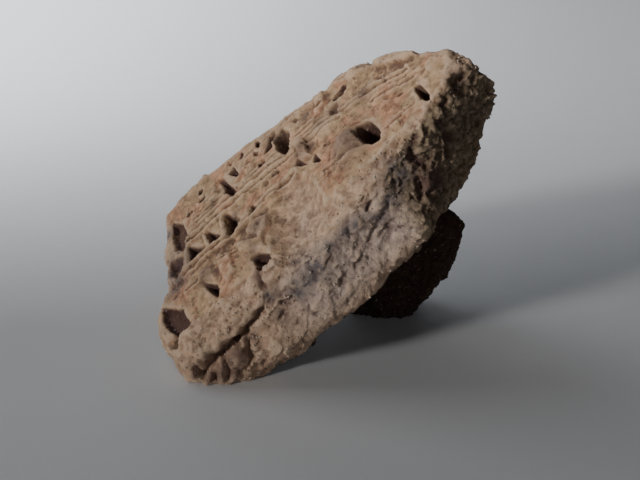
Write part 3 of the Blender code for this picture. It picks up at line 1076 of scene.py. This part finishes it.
def add_noise(tree, place, scale, detail=3.0, roughness=0.6):
    """A noise texture at a place, and its value."""
    made = add_node(tree, "ShaderNodeTexNoise")
    tree.links.new(place, made.inputs["Vector"])
    made.inputs["Scale"].default_value = scale
    made.inputs["Detail"].default_value = detail
    made.inputs["Roughness"].default_value = roughness
    return made.outputs["Fac"]


print("materials so far:", len(bpy.data.materials))

# %% [markdown]
# ## Shared shader groups
#
# Fired clay is full of dark and pale specks, and clay and paper are both grainy. The
# grain is used by the clay and by the paper below, so it is a node group with named
# inputs, built once. "Speckle" scatters the specks over a colour, and is a group too,
# which keeps the clay material readable. "Grain height" feeds a Bump node.

# %% Speckle group
# Which part of the noise is a fleck, and how much finer the pale ones are
DARK_FLECK_RANGE = (0.60, 0.70)
PALE_FLECK_RANGE = (0.62, 0.74)
PALE_FLECKS_FINER = 1.7
DARK_FLECK = (0.16, 0.13, 0.12, 1.0)
PALE_FLECK = (0.80, 0.70, 0.60, 1.0)


def fleck_share(group, start, name, finer, fleck_range):
    """How much of a kind of fleck lies at each place."""
    texture = add_node(group, "ShaderNodeTexNoise")
    scale = add_math(group, "MULTIPLY", start.outputs["Scale"], finer)
    group.links.new(start.outputs["Place"], texture.inputs["Vector"])
    group.links.new(scale, texture.inputs["Scale"])
    texture.inputs["Detail"].default_value = 2.0
    texture.inputs["Roughness"].default_value = 0.7
    fleck = add_range(group, texture.outputs["Fac"], *fleck_range)
    return add_math(group, "MULTIPLY", fleck, start.outputs[name])


def speckle_group():
    """Dark and pale flecks over a colour."""
    group = bpy.data.node_groups.new("Speckle", "ShaderNodeTree")
    add_socket(group, "Place", "NodeSocketVector", "INPUT")
    add_socket(group, "Colour", "NodeSocketColor", "INPUT", (0.5, 0.4, 0.3, 1.0))
    add_socket(group, "Scale", "NodeSocketFloat", "INPUT", 1500.0)
    add_socket(group, "Dark flecks", "NodeSocketFloat", "INPUT", 0.5)
    add_socket(group, "Pale flecks", "NodeSocketFloat", "INPUT", 0.5)
    add_socket(group, "Colour", "NodeSocketColor", "OUTPUT")
    start = add_node(group, "NodeGroupInput")
    end = add_node(group, "NodeGroupOutput")
    dark_flecks = fleck_share(group, start, "Dark flecks", 1.0, DARK_FLECK_RANGE)
    pale_flecks = fleck_share(group, start, "Pale flecks", PALE_FLECKS_FINER, PALE_FLECK_RANGE)
    darker = add_mix(group, dark_flecks, start.outputs["Colour"], DARK_FLECK, "MULTIPLY")
    paler = add_mix(group, pale_flecks, darker, PALE_FLECK)
    group.links.new(paler, end.inputs["Colour"])
    return group


speckle = speckle_group()
print("group:", speckle.name, "with", len(speckle.nodes), "nodes")

# %% Grain height group
def grain_group():
    """The height of sandy grain, for a Bump node."""
    group = bpy.data.node_groups.new("Grain height", "ShaderNodeTree")
    add_socket(group, "Place", "NodeSocketVector", "INPUT")
    add_socket(group, "Scale", "NodeSocketFloat", "INPUT", 2500.0)
    add_socket(group, "Height", "NodeSocketFloat", "OUTPUT")
    start = add_node(group, "NodeGroupInput")
    end = add_node(group, "NodeGroupOutput")
    texture = add_node(group, "ShaderNodeTexNoise")
    group.links.new(start.outputs["Place"], texture.inputs["Vector"])
    group.links.new(start.outputs["Scale"], texture.inputs["Scale"])
    texture.inputs["Detail"].default_value = 5.0
    texture.inputs["Roughness"].default_value = 0.65
    group.links.new(texture.outputs["Fac"], end.inputs["Height"])
    return group


grain = grain_group()
print("groups:", [group.name for group in bpy.data.node_groups])

# %% [markdown]
# ## The fired clay
#
# One material covers the piece, as one clay does the real one. It starts from the
# colour of a fresh break, and each attribute lays another finish over it, in the order
# in which they came: grey core, dark end, old underside and tan skin with salmon
# patches from the fire, then wear, patches, stains and soil from the ground. The dark
# end, the old underside, the greyish patches and the soil are partly painted shade.
# Separate materials would leave hard borders where the finishes meet.

# %% Colours of the clay
TAN = (0.43, 0.285, 0.170, 1.0)
SALMON = (0.46, 0.250, 0.150, 1.0)
CREAM = (0.60, 0.44, 0.32, 1.0)
BREAK_TAN = (0.47, 0.315, 0.215, 1.0)
CORE_GREY = (0.435, 0.335, 0.280, 1.0)
# The dark end, old underside, soil and greyish patch colours are partly painted shade, darker where the
# clay lies in shadow or turns away from the light.
DARK_END = (0.195, 0.147, 0.088, 1.0)
OLD_BROWN_AND_SHADE = (0.045, 0.023, 0.016, 1.0)
SOIL_AND_SHADE_BROWN = (0.085, 0.044, 0.039, 1.0)
TAUPE_AND_SHADE_COLOUR = (0.17, 0.112, 0.086, 1.0)
STAIN_BLUE = (0.120, 0.105, 0.110, 1.0)
GRAIN_PALE = (0.52, 0.45, 0.38, 1.0)
print("the skin goes from", TAN[:3], "to", SALMON[:3])

# %% Places, attributes and groups in a material
def group_node(tree, group, place):
    """A node that runs a shared group at a place."""
    made = add_node(tree, "ShaderNodeGroup", node_tree=group)
    tree.links.new(place, made.inputs["Place"])
    return made


def attribute(tree, name):
    """The value that the mesh stores under a name."""
    made = add_node(tree, "ShaderNodeAttribute", attribute_type="GEOMETRY", attribute_name=name)
    return made.outputs["Fac"]


def new_material(name):
    """An empty material with its shader, its tree and the object's own coordinates."""
    made = bpy.data.materials.new(name)
    made.use_nodes = True
    tree = made.node_tree
    place = add_node(tree, "ShaderNodeTexCoord").outputs["Object"]
    return made, tree, tree.nodes["Principled BSDF"], place


print("attributes to read:", len(skin.attributes))

# %% Layers of the clay's colour
PATCH_SCALE = 260.0
MOTTLE_SCALE = 900.0
DARK_SHARE = 0.9
SALMON_RANGE = (0.48, 0.62)
MOTTLE_RANGE = (0.35, 0.70, 0.70, 1.25)
WEAR_SHARE = 0.60
TAUPE_AND_SHADE_RANGE = (0.35, 0.60, 0.60, 1.00)
STAIN_RANGE = (0.38, 0.54)
SOIL_AND_SHADE_STRENGTH = 0.97


def clay_of_the_break_and_skin(tree, place):
    """The colours that the fire left in the break, its grey core and the skin, with the dark end and the
    old underside, which are partly painted shade.
    """
    patches = add_noise(tree, place, PATCH_SCALE, 3.0)
    colour = add_mix(tree, attribute(tree, "grey"), BREAK_TAN, CORE_GREY)
    dark_share = add_math(tree, "MULTIPLY", attribute(tree, "dark_end"), DARK_SHARE)
    colour = add_mix(tree, dark_share, colour, DARK_END)
    colour = add_mix(tree, attribute(tree, "old"), colour, OLD_BROWN_AND_SHADE)
    salmon = add_range(tree, patches, *SALMON_RANGE)
    skin_colour = add_mix(tree, salmon, TAN, SALMON)
    return add_mix(tree, attribute(tree, "skin"), colour, skin_colour)


def mottled(tree, colour, fine):
    """A colour made lighter and darker in small patches."""
    mottle = add_range(tree, fine, *MOTTLE_RANGE)
    lightness = add_node(tree, "ShaderNodeCombineColor")
    for socket in lightness.inputs[:3]:
        tree.links.new(mottle, socket)
    return add_mix(tree, 1.0, colour, lightness.outputs["Color"], "MULTIPLY")


def worn_soiled_and_shaded(tree, colour, fine):
    """A colour with worn edges, greyish patches, stains, soil and pale grains; the greyish patches and
    the soil are partly painted shade.
    """
    wear_share = add_math(tree, "MULTIPLY", attribute(tree, "wear"), WEAR_SHARE)
    colour = add_mix(tree, wear_share, colour, CREAM)
    uneven = add_range(tree, fine, *TAUPE_AND_SHADE_RANGE)
    taupe_and_shade_share = add_math(tree, "MULTIPLY", attribute(tree, "taupe_and_shade"), uneven)
    colour = add_mix(tree, taupe_and_shade_share, colour, TAUPE_AND_SHADE_COLOUR)
    broken_up = add_range(tree, fine, *STAIN_RANGE)
    stain_share = add_math(tree, "MULTIPLY", attribute(tree, "stain"), broken_up)
    colour = add_mix(tree, stain_share, colour, STAIN_BLUE)
    soil_and_shade_share = add_math(tree, "MULTIPLY", attribute(tree, "soil_and_shade"), SOIL_AND_SHADE_STRENGTH)
    colour = add_mix(tree, soil_and_shade_share, colour, SOIL_AND_SHADE_BROWN)
    grain_share = add_math(tree, "MULTIPLY", attribute(tree, "temper"), attribute(tree, "paleness"))
    return add_mix(tree, grain_share, colour, GRAIN_PALE)


print("soil covers", round(100 * SOIL_AND_SHADE_STRENGTH), "% of what is under it")

# %% The fired clay
def clay_material():
    """Fired clay with all its finishes."""
    made, tree, shader, place = new_material("Fired clay")
    fine = add_noise(tree, place, MOTTLE_SCALE, 4.0)
    colour = clay_of_the_break_and_skin(tree, place)
    colour = worn_soiled_and_shaded(tree, mottled(tree, colour, fine), fine)
    flecks = group_node(tree, speckle, place)
    tree.links.new(colour, flecks.inputs["Colour"])
    flecks.inputs["Scale"].default_value = 1500.0
    flecks.inputs["Dark flecks"].default_value = 0.60
    flecks.inputs["Pale flecks"].default_value = 0.30
    tree.links.new(flecks.outputs["Colour"], shader.inputs["Base Color"])
    shader.inputs["Roughness"].default_value = 0.9
    shader.inputs["Specular IOR Level"].default_value = 0.25
    height = group_node(tree, grain, place)
    height.inputs["Scale"].default_value = 2200.0
    bump = add_node(tree, "ShaderNodeBump")
    bump.inputs["Strength"].default_value = 0.9
    bump.inputs["Distance"].default_value = 0.00022
    tree.links.new(height.outputs["Height"], bump.inputs["Height"])
    tree.links.new(bump.outputs["Normal"], shader.inputs["Normal"])
    return made


clay = clay_material()
skin.materials.append(clay)
print("finish:", clay.name, "with", len(clay.node_tree.nodes), "nodes")

# %% [markdown]
# ## Grains of temper
#
# Potters mixed sand or crushed rock into clay so that it would not crack in the fire.
# In a break those grains stand half out of the surface. Geometry Nodes scatter them:
# points are spread over the mesh where the attribute "grit" is high, a small rough
# ball stands on each, turned and sized at random, and "temper" tells the material how
# pale each grain is. Realize Instances turns the balls into mesh that can be exported.

# %% Random turns and named inputs
def random_vector(tree, low, high, seed):
    """A Random Value node for vectors between two sockets or numbers."""
    made = add_node(tree, "FunctionNodeRandomValue", data_type="FLOAT_VECTOR")
    for socket, value in ((made.inputs[0], low), (made.inputs[1], high)):
        if isinstance(value, tuple):
            socket.default_value = value
        else:
            tree.links.new(value, socket)
    made.inputs["Seed"].default_value = seed
    return made.outputs[0]


def set_input(modifier, name, value):
    """Sets a modifier's input, which is found by its name and set by its identifier."""
    for socket in modifier.node_group.interface.items_tree:
        if socket.item_type == "SOCKET" and socket.in_out == "INPUT" and socket.name == name:
            modifier[socket.identifier] = value


print("a full turn is", round(math.tau, 3))

# %% The tree of the temper grains
def temper_tree():
    """Half-buried grains over the places that the attribute "grit" chooses."""
    tree = bpy.data.node_groups.new("Temper grains", "GeometryNodeTree")
    add_socket(tree, "Geometry", "NodeSocketGeometry", "INPUT")
    add_socket(tree, "Grains per square metre", "NodeSocketFloat", "INPUT", 1000.0)
    add_socket(tree, "Smallest grain", "NodeSocketFloat", "INPUT", 0.0001)
    add_socket(tree, "Largest grain", "NodeSocketFloat", "INPUT", 0.0002)
    add_socket(tree, "Seed", "NodeSocketInt", "INPUT", 1)
    add_socket(tree, "Material", "NodeSocketMaterial", "INPUT")
    add_socket(tree, "Geometry", "NodeSocketGeometry", "OUTPUT")
    start = add_node(tree, "NodeGroupInput")
    end = add_node(tree, "NodeGroupOutput")
    grit = add_node(tree, "GeometryNodeInputNamedAttribute", data_type="FLOAT")
    grit.inputs["Name"].default_value = "grit"
    density = add_math(
        tree, "MULTIPLY", grit.outputs["Attribute"], start.outputs["Grains per square metre"],
    )
    scatter = add_node(tree, "GeometryNodeDistributePointsOnFaces")
    tree.links.new(start.outputs["Geometry"], scatter.inputs["Mesh"])
    tree.links.new(density, scatter.inputs["Density"])
    tree.links.new(start.outputs["Seed"], scatter.inputs["Seed"])
    ball = add_node(tree, "GeometryNodeMeshIcoSphere")
    ball.inputs["Radius"].default_value = 1.0
    ball.inputs["Subdivisions"].default_value = 1
    place = add_node(tree, "GeometryNodeInstanceOnPoints")
    tree.links.new(scatter.outputs["Points"], place.inputs["Points"])
    tree.links.new(ball.outputs["Mesh"], place.inputs["Instance"])
    turn = random_vector(tree, (0.0, 0.0, 0.0), (math.tau, math.tau, math.tau), 1)
    tree.links.new(turn, place.inputs["Rotation"])
    smallest = start.outputs["Smallest grain"]
    largest = start.outputs["Largest grain"]
    tree.links.new(random_vector(tree, smallest, largest, 2), place.inputs["Scale"])
    paleness = add_node(tree, "FunctionNodeRandomValue", data_type="FLOAT")
    paleness.inputs["Seed"].default_value = 3
    named = add_node(tree, "GeometryNodeStoreNamedAttribute", data_type="FLOAT", domain="INSTANCE")
    named.inputs["Name"].default_value = "temper"
    tree.links.new(place.outputs["Instances"], named.inputs["Geometry"])
    tree.links.new(paleness.outputs[1], named.inputs["Value"])
    joined = add_node(tree, "GeometryNodeJoinGeometry")
    tree.links.new(named.outputs["Geometry"], joined.inputs["Geometry"])
    tree.links.new(start.outputs["Geometry"], joined.inputs["Geometry"])
    realize = add_node(tree, "GeometryNodeRealizeInstances")
    tree.links.new(joined.outputs["Geometry"], realize.inputs["Geometry"])
    finish = add_node(tree, "GeometryNodeSetMaterial")
    tree.links.new(realize.outputs["Geometry"], finish.inputs["Geometry"])
    tree.links.new(start.outputs["Material"], finish.inputs["Material"])
    tree.links.new(finish.outputs["Geometry"], end.inputs["Geometry"])
    return tree


temper_grains = temper_tree()
print("tree:", temper_grains.name, "with", len(temper_grains.nodes), "nodes")

# %% Scatter the grains
GRAINS_PER_SQUARE_METRE = 0.62e6
SMALLEST_GRAIN = 0.00006
LARGEST_GRAIN = 0.00021
GRAIN_SEED = 5
GRAIN_FACES = 20

without_grains = len(skin.polygons)
grains = piece.modifiers.new("Temper grains", "NODES")
grains.node_group = temper_grains
set_input(grains, "Grains per square metre", GRAINS_PER_SQUARE_METRE)
set_input(grains, "Smallest grain", SMALLEST_GRAIN)
set_input(grains, "Largest grain", LARGEST_GRAIN)
set_input(grains, "Seed", GRAIN_SEED)
set_input(grains, "Material", clay)
skin = baked(piece)
print("grains:", (len(skin.polygons) - without_grains) // GRAIN_FACES)

# %% [markdown]
# ## The finished piece
#
# The join leaves an empty material slot, so the slots are filled anew. The grains
# under the toe are pressed flat on the table. Then the piece rides on the body "root",
# and the CAD solid is hidden.

# %% The finished piece
skin.materials.clear()
skin.materials.append(clay)
skin.polygons.foreach_set("material_index", [0] * len(skin.polygons))
skin.polygons.foreach_set("use_smooth", [True] * len(skin.polygons))
above_table = coordinates(skin)
above_table[:, 2] = np.maximum(above_table[:, 2], 0.0)
set_coordinates(skin, above_table)
print("triangles with grains:", sum(len(face.vertices) - 2 for face in skin.polygons))

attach(piece, "root")
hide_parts("clay_sealing")

# %% [markdown]
# ## The paper
#
# The piece lies on plain pale paper that rises behind it in a curve, so that there is
# no edge between floor and wall. A few cross sections along the curve are enough,
# because smooth shading hides the joints.

# %% The paper
SWEEP_FRONT = -3.0
SWEEP_START = 0.10
SWEEP_RADIUS = 0.35
SWEEP_SIDE = 3.0
SWEEP_STEPS = 18
DEGREES_A_STEP = 4
SWEEP_END = 0.2
PAPER = (0.70, 0.71, 0.73, 1.0)


def paper_sweep():
    """A sheet that lies flat in front and curves up behind."""
    profile = [(SWEEP_FRONT, 0.0), (SWEEP_START, 0.0)]
    for step in range(1, SWEEP_STEPS + 1):
        angle = math.radians(DEGREES_A_STEP * step)
        rise = SWEEP_RADIUS * (1.0 - math.cos(angle))
        profile.append((SWEEP_START + SWEEP_RADIUS * math.sin(angle), rise))
    end_y, end_z = profile[-1]
    profile.append((end_y + SWEEP_END * math.cos(angle), end_z + SWEEP_END * math.sin(angle)))
    corners = [(x, y, z) for y, z in profile for x in (-SWEEP_SIDE, SWEEP_SIDE)]
    faces = [(2 * n, 2 * n + 1, 2 * n + 3, 2 * n + 2) for n in range(len(profile) - 1)]
    sheet = bpy.data.meshes.new("paper")
    sheet.from_pydata(corners, [], faces)
    sheet.polygons.foreach_set("use_smooth", [True] * len(faces))
    return add_object("paper", sheet)


def paper_material():
    """Plain pale paper with a faint grain."""
    made, tree, shader, place = new_material("Paper")
    shader.inputs["Base Color"].default_value = PAPER
    shader.inputs["Roughness"].default_value = 0.95
    shader.inputs["Specular IOR Level"].default_value = 0.1
    height = group_node(tree, grain, place)
    height.inputs["Scale"].default_value = 1800.0
    bump = add_node(tree, "ShaderNodeBump")
    bump.inputs["Strength"].default_value = 0.15
    bump.inputs["Distance"].default_value = 0.0001
    tree.links.new(height.outputs["Height"], bump.inputs["Height"])
    tree.links.new(bump.outputs["Normal"], shader.inputs["Normal"])
    return made


paper = paper_sweep()
paper.data.materials.append(paper_material())
print("paper:", len(paper.data.polygons), "strips")

# %% [markdown]
# ## The light
#
# The key light stands low in front on the left, like a window beside a table. It
# grazes the face, so that every mark casts a small shadow, and leaves the right end
# dark. It is a spot light with a wide soft edge, which keeps it off the front of the
# paper. A weak light from above, a weak one from the right and one for the paper
# behind keep the shadows from going black.

# %% The key light
LIGHT_FROM = Vector((-0.775, -0.572, 0.267)).normalized()
LIGHT_AWAY = 0.70
LIGHT_AIM = Vector((0.0, 0.0, 0.080))
LIGHT_POWER = 22.5
LIGHT_SIDE = 0.055
LIGHT_CONE = 19.0
WARM_WHITE = (1.0, 0.97, 0.93)


def add_light(name, kind, power, place, aim):
    """A lamp at a place that looks at another place."""
    lamp = bpy.data.lights.new(name, kind)
    lamp.energy = power
    holder = bpy.data.objects.new(name, lamp)
    bpy.context.scene.collection.objects.link(holder)
    holder.location = place
    holder.rotation_euler = (place - aim).to_track_quat("Z", "Y").to_euler()
    return lamp


key = add_light("window", "SPOT", LIGHT_POWER, LIGHT_FROM * LIGHT_AWAY, LIGHT_AIM)
key.shadow_soft_size = LIGHT_SIDE
key.spot_size = math.radians(LIGHT_CONE)
key.spot_blend = 1.0
key.color = WARM_WHITE
print("light from", [round(c, 2) for c in LIGHT_FROM])

# %% The weaker lights
# Power, place, aim, size and colour
SOFT_LIGHTS = {
    "ceiling": (0.22, (-0.20, 0.08, 0.26), (-0.10, 0.06, 0.0), 0.2, (0.93, 0.97, 1.0)),
    "fill": (0.20, (0.16, -0.44, 0.15), (0.0, 0.0, 0.02), 0.3, (1.0, 1.0, 1.0)),
    "backdrop": (2.0, (-0.17, 0.08, 0.24), (-0.22, 0.42, 0.10), 0.16, (0.97, 0.98, 1.0)),
}
ROOM_COLOUR = (0.75, 0.85, 1.0, 1.0)
ROOM_STRENGTH = 0.004

for name, (power, place, aim, size, colour) in SOFT_LIGHTS.items():
    lamp = add_light(name, "AREA", power, Vector(place), Vector(aim))
    lamp.size = size
    lamp.color = colour

world = bpy.data.worlds.new("room")
world.use_nodes = True
room = world.node_tree.nodes["Background"]
room.inputs["Color"].default_value = ROOM_COLOUR
room.inputs["Strength"].default_value = ROOM_STRENGTH
bpy.context.scene.world = world
print("lights:", len(bpy.data.lights))

# %% [markdown]
# ## The camera
#
# The camera stands where the photo was taken from: a 45 mm lens about a hand's
# breadth in front of the piece, a little above it, looking down by 22 degrees.

# %% The camera
LENS = 45.0
SENSOR = 36.0
NEAREST = 0.005
CAMERA_PLACE = (0.0010895, -0.0974537, 0.0526497)
LOOKS_DOWN_BY = 22.0

optics = bpy.data.cameras.new("camera")
optics.lens = LENS
optics.sensor_width = SENSOR
optics.clip_start = NEAREST
camera = bpy.data.objects.new("camera", optics)
bpy.context.scene.collection.objects.link(camera)
camera.location = CAMERA_PLACE
camera.rotation_euler = (math.radians(90.0 - LOOKS_DOWN_BY), 0.0, 0.0)
bpy.context.scene.camera = camera
print("camera at", [round(1000 * c) for c in CAMERA_PLACE], "mm")
